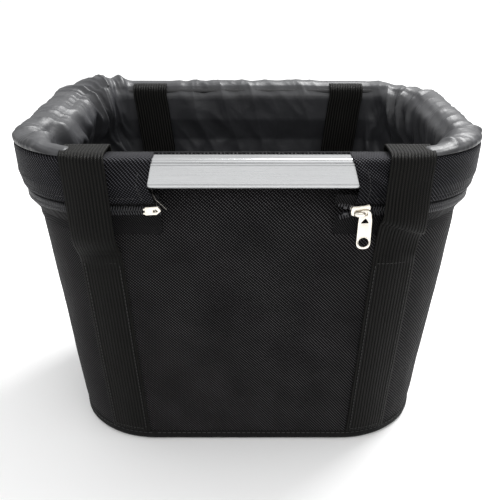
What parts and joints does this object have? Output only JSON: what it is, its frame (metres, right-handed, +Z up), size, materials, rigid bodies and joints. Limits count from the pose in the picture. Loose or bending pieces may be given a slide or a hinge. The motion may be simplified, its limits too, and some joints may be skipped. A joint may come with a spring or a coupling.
{
  "type": "handlebar basket",
  "caption": "Tapered fabric handlebar basket on an oval aluminium tube, with a zip round the rim sleeve, gathered nylon inner cover and webbing handle loops.",
  "frame": {"origin": "middle of the base, on the surface that the basket stands on", "axes": "+Z up; +X along the basket's longest side; -Y faces the handlebar, where the tube is bare"},
  "size_m": [0.36, 0.268, 0.2592],
  "materials": {
    "extrusion": "satin natural extrusion with fine lines along it",
    "joiner": "plain mill finish",
    "rivet": "plain",
    "bag_cloth": "black coated oxford weave with a faint diagonal sheen",
    "binding_tape": "black woven tape, stitched",
    "board": "plain stiff sheet",
    "foam": "closed-cell foam sheet",
    "nylon": "thin black nylon with a satin shine",
    "zip_tape": "black herringbone tape",
    "zip_coil": "black nylon coil",
    "zip_metal": "bright nickel plate",
    "webbing": "black ribbed webbing",
    "thread": "black bonded thread"
  },
  "bodies": {
    "bag": {"frame_tube": "extrusion", "frame_joiner": "joiner", "frame_rivets": "rivet", "front_panel": "bag_cloth", "back_panel": "bag_cloth", "left_side_panel": "bag_cloth", "right_side_panel": "bag_cloth", "bottom_panel": "bag_cloth", "bottom_binding": "binding_tape", "base_board": "board", "front_foam": "foam", "back_foam": "foam", "left_side_foam": "foam", "right_side_foam": "foam", "lining_wall": "nylon", "lining_bottom": "nylon", "rim_cover": "nylon", "collar": "bag_cloth", "zip_tape_upper": "zip_tape", "zip_tape_lower": "zip_tape", "zip_coil_upper": "zip_coil", "zip_coil_lower": "zip_coil", "zip_box": "zip_metal", "zip_top_stops": "zip_metal", "front_strap_left": "webbing", "front_strap_right": "webbing", "back_strap_left": "webbing", "back_strap_right": "webbing", "strap_bartacks": "thread"},
    "front_handle": {"front_handle": "webbing"},
    "back_handle": {"back_handle": "webbing"},
    "zip_slider": {"zip_slider": "zip_metal"},
    "zip_pull": {"zip_pull": "zip_metal"}
  },
  "joints": [
    {"name": "front_handle_swing", "type": "hinge", "parent": "bag", "child": "front_handle", "pos_m": [0, -0.103, 0.2575], "axis": [1, 0, 0], "range_deg": [0, 180]},
    {"name": "back_handle_swing", "type": "hinge", "parent": "bag", "child": "back_handle", "pos_m": [0, 0.1082, 0.2575], "axis": [-1, 0, 0], "range_deg": [0, 180]},
    {"name": "zip_slide", "type": "slide", "parent": "bag", "child": "zip_slider", "axis": [1, 0, 0], "range_m": [0, 0.012]},
    {"name": "zip_pull_swing", "type": "hinge", "parent": "zip_slider", "child": "zip_pull", "pos_m": [0.0845, -0.1284, 0.2146], "axis": [0, -1, 0], "range_deg": [-25, 90]}
  ]
}
